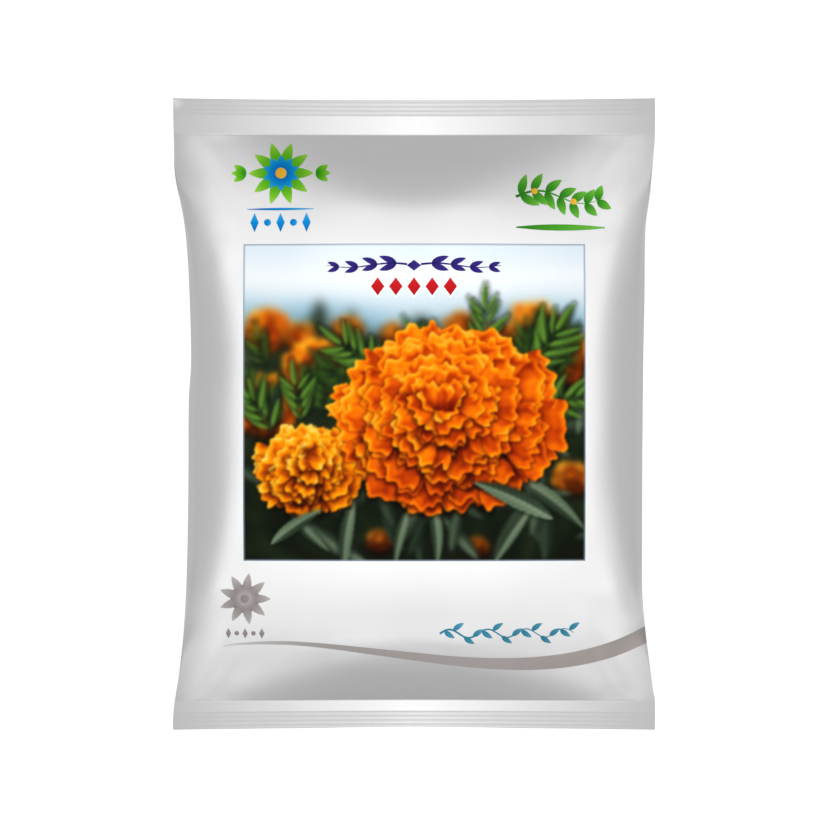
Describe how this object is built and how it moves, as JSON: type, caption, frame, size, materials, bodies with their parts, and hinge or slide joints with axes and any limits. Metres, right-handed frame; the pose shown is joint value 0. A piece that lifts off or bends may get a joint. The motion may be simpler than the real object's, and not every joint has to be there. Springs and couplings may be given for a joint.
{
  "type": "seed packet",
  "caption": "Sealed, air-filled pillow pouch of pearl-white film with ribbed end seals, a folded back seam and loose flower seeds inside, lying on its back.",
  "frame": {"origin": "on the resting plane, under the middle of the packet", "axes": "+X across the packet, +Y towards its top end, +Z out of its printed front"},
  "size_m": [0.115, 0.1506, 0.017],
  "materials": {
    "pearl_film": "satin pearl-white laminated film, printed on the front",
    "seed_husk": "dull dark husk with a pale straw tuft"
  },
  "bodies": {
    "root": {"pouch_film": "pearl_film", "seed_drift": "seed_husk"}
  },
  "joints": []
}
